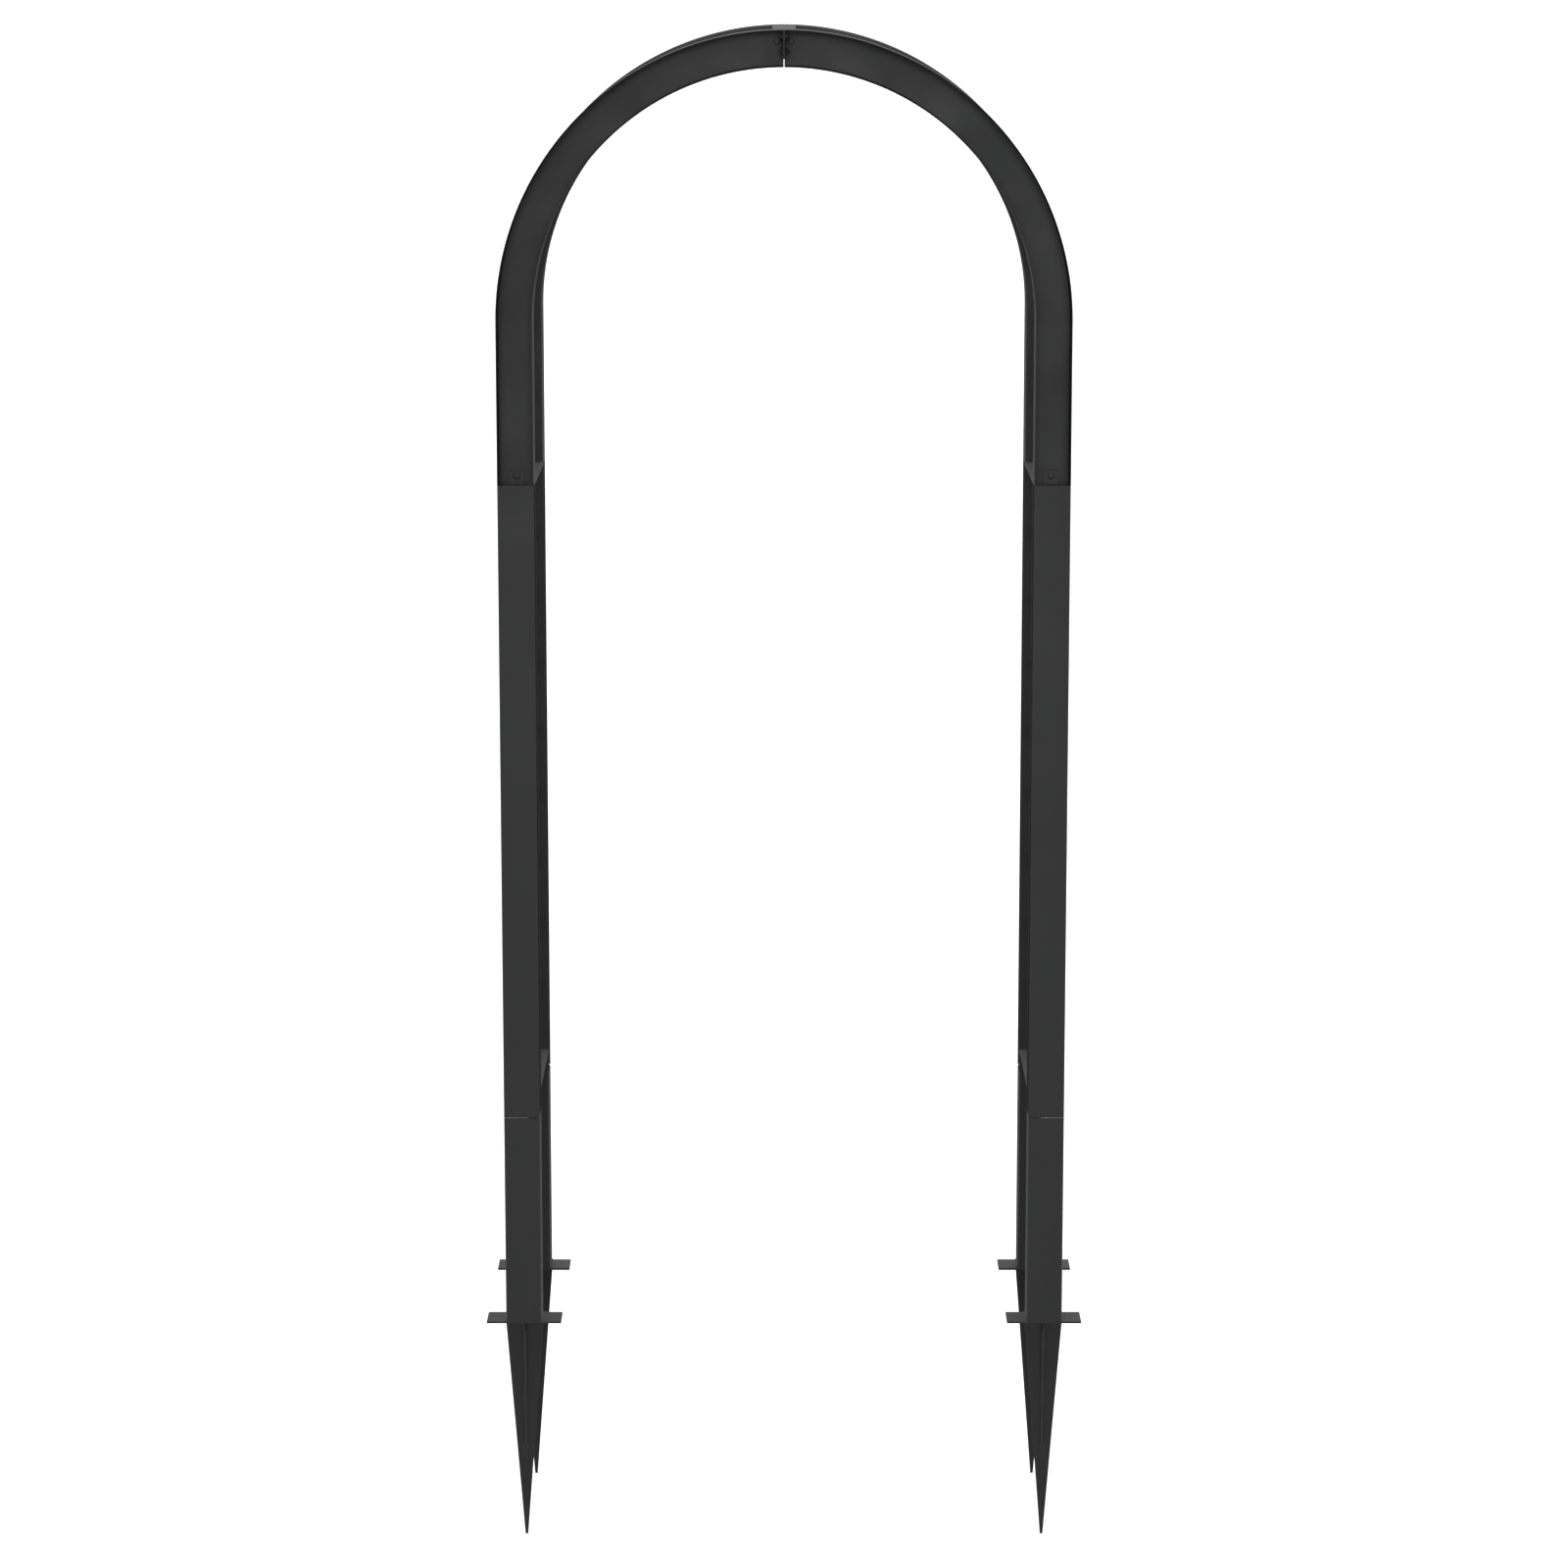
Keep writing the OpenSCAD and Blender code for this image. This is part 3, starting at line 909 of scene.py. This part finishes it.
washerRadius = bolt["washer"] / 2
sheet = finish["sheet"]
fixings = {"crown_bolts": [], "tie_bolts": [], "splice_bolts": [], "base_plate_bolts": []}
low, high = inward("crown_bolts", washerRadius)
for y in (low.y, high.y):
    for z in (low.z, high.z):
        fixings["crown_bolts"].append(((-sheet, y, z), (-1, 0, 0), 2 * sheet))
low, high = inward("tie_bolts", washerRadius)
for sx in (-1, 1):
    for sy in (-1, 1):
        fixings["tie_bolts"].append(((sx * high.x, sy * (gapY + sheet), low.z), (0, sy, 0),
                                     sheet + crownTie["wall"]))
low, high = inward("splice_bolts", washerRadius)
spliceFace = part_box("splice_plate_rear_right")[1].y
for sx in (-1, 1):
    for sy in (-1, 1):
        for z in (low.z, high.z):
            fixings["splice_bolts"].append(((sx * high.x, sy * spliceFace, z), (0, sy, 0),
                                            spliceFace - gapY))
low, high = inward("base_plate_bolts", washerRadius)
for sx in (-1, 1):
    for y in (low.y, high.y):
        fixings["base_plate_bolts"].append(((sx * high.x, y, seatHigh.z), (0, 0, 1),
                                            seatHigh.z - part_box("panel_top_plate_right")[0].z))
nuts = bmesh.new()
nut = makeNut()
sixth = 60                         # degrees after which a hexagon looks the same
turnSteps = {"bolt": 37, "nut": 23, "screw": 31}
turnIndex = 0
for nodeName, places in fixings.items():
    group = bmesh.new()
    for point, direction, clamped in places:
        turnIndex += 1
        whole = makeBolt(clamped)
        put(group, whole, stand(point, direction, turnIndex * turnSteps["bolt"] % sixth))
        whole.free()
        behind = Vector(point) - clamped * Vector(direction)
        put(nuts, nut, stand(behind, -Vector(direction), turnIndex * turnSteps["nut"] % sixth))
    words = nodeName.split("_")
    addPiece(group, words[0] + "".join(w.title() for w in words[1:]), boltCoat,
             [nodeName], edge=0)
nut.free()
addPiece(nuts, "hexNuts", boltCoat, ["hex_nuts"], edge=0)

low, high = inward("spigot_screws", screw["head"] / 2)
screws = bmesh.new()
button = makeButton()
for sx in (-1, 1):
    for sy in (-1, 1):
        for z in (low.z, high.z):
            turnIndex += 1
            put(screws, button, stand((sx * high.x, sy * gapY, z), (0, -sy, 0),
                                      turnIndex * turnSteps["screw"] % sixth))
button.free()
addPiece(screws, "spigotScrews", boltCoat, ["spigot_screws"], edge=0)
print("fasteners placed")


# floor, light and camera
studio = {
    "floorSize": 600.0,
    "floorDrop": 0.5 * mm,         # under the spikes' tips
    "floorRoughness": 0.9,
    "floorSpecular": 0.1,
    "floorSeen": (0.92, 0.92, 0.92, 1),
    "floorBounce": (0.07, 0.07, 0.07, 1),
    "frontStrength": 1.8,
    "frontAngle": 28,
    "frontElevation": 2,
    "rearStrength": 0.4,
    "rearAngle": 50,
    "rearElevation": 35,
    "topStrength": 2.0,
    "topAngle": 40,
    "topElevation": 88,
    "sideStrength": 4.2,
    "sideAngle": 16,
    "sideAzimuth": 97,             # a little from behind, through between the rungs
    "sideElevation": 15,
    "ambient": 0.22,
    "cameraPlace": (0.0, -8.424, 2.507),
    "cameraPitch": 10.47,
    "lens": 109.0,
    "sensor": 36.0,
    "clipEnd": 1000.0,
}


def makeFloor():
    bm = bmesh.new()
    bmesh.ops.create_grid(bm, x_segments=1, y_segments=1, size=studio["floorSize"] / 2)
    bmesh.ops.translate(bm, vec=(0, 0, spikeLow.z - studio["floorDrop"]), verts=bm.verts[:])
    mesh = bpy.data.meshes.new("floor")
    bm.to_mesh(mesh)
    bm.free()
    material = bpy.data.materials.new("paleFloor")
    material.use_nodes = True
    tree = material.node_tree
    shader = tree.nodes["Principled BSDF"]
    seen = tree.nodes.new("ShaderNodeLightPath").outputs["Is Camera Ray"]
    feed(tree, blendColour(tree, seen, studio["floorBounce"], studio["floorSeen"]),
         shader.inputs["Base Color"])
    shader.inputs["Roughness"].default_value = studio["floorRoughness"]
    shader.inputs["Specular IOR Level"].default_value = studio["floorSpecular"]
    mesh.materials.append(material)
    floor = bpy.data.objects.new("floor", mesh)
    bpy.context.scene.collection.objects.link(floor)


def makeSun(name, kind, azimuth):
    lamp = bpy.data.lights.new(name, "SUN")
    lamp.energy = studio[kind + "Strength"]
    lamp.angle = math.radians(studio[kind + "Angle"])
    lit = bpy.data.objects.new(name, lamp)
    a, e = math.radians(azimuth), math.radians(studio[kind + "Elevation"])
    towards = Vector((math.sin(a) * math.cos(e), -math.cos(a) * math.cos(e), math.sin(e)))
    lit.rotation_euler = towards.to_track_quat("Z", "Y").to_euler()
    bpy.context.scene.collection.objects.link(lit)


def makeWorld():
    world = bpy.data.worlds.new("studio")
    bpy.context.scene.world = world
    world.use_nodes = True
    tree = world.node_tree
    ambient = tree.nodes["Background"]
    ambient.inputs["Color"].default_value = (1, 1, 1, 1)
    ambient.inputs["Strength"].default_value = studio["ambient"]
    backdrop = tree.nodes.new("ShaderNodeBackground")
    backdrop.inputs["Color"].default_value = (1, 1, 1, 1)
    pick = tree.nodes.new("ShaderNodeMixShader")
    feed(tree, tree.nodes.new("ShaderNodeLightPath").outputs["Is Camera Ray"], pick.inputs[0])
    feed(tree, ambient.outputs[0], pick.inputs[1])
    feed(tree, backdrop.outputs[0], pick.inputs[2])
    feed(tree, pick.outputs[0], tree.nodes["World Output"].inputs["Surface"])


def makeCamera():
    lens = bpy.data.cameras.new("camera")
    lens.lens = studio["lens"]
    lens.sensor_width = studio["sensor"]
    lens.clip_end = studio["clipEnd"]
    camera = bpy.data.objects.new("camera", lens)
    camera.location = studio["cameraPlace"]
    camera.rotation_euler = (math.radians(90 - studio["cameraPitch"]), 0, 0)
    bpy.context.scene.collection.objects.link(camera)
    bpy.context.scene.camera = camera


makeFloor()
makeSun("frontLight", "front", 0)
makeSun("rearLight", "rear", 180)
makeSun("topLight", "top", 0)
makeSun("leftLight", "side", -studio["sideAzimuth"])
makeSun("rightLight", "side", studio["sideAzimuth"])
makeWorld()
makeCamera()
bpy.context.scene.view_settings.view_transform = "Standard"
print("floor, light and camera set")
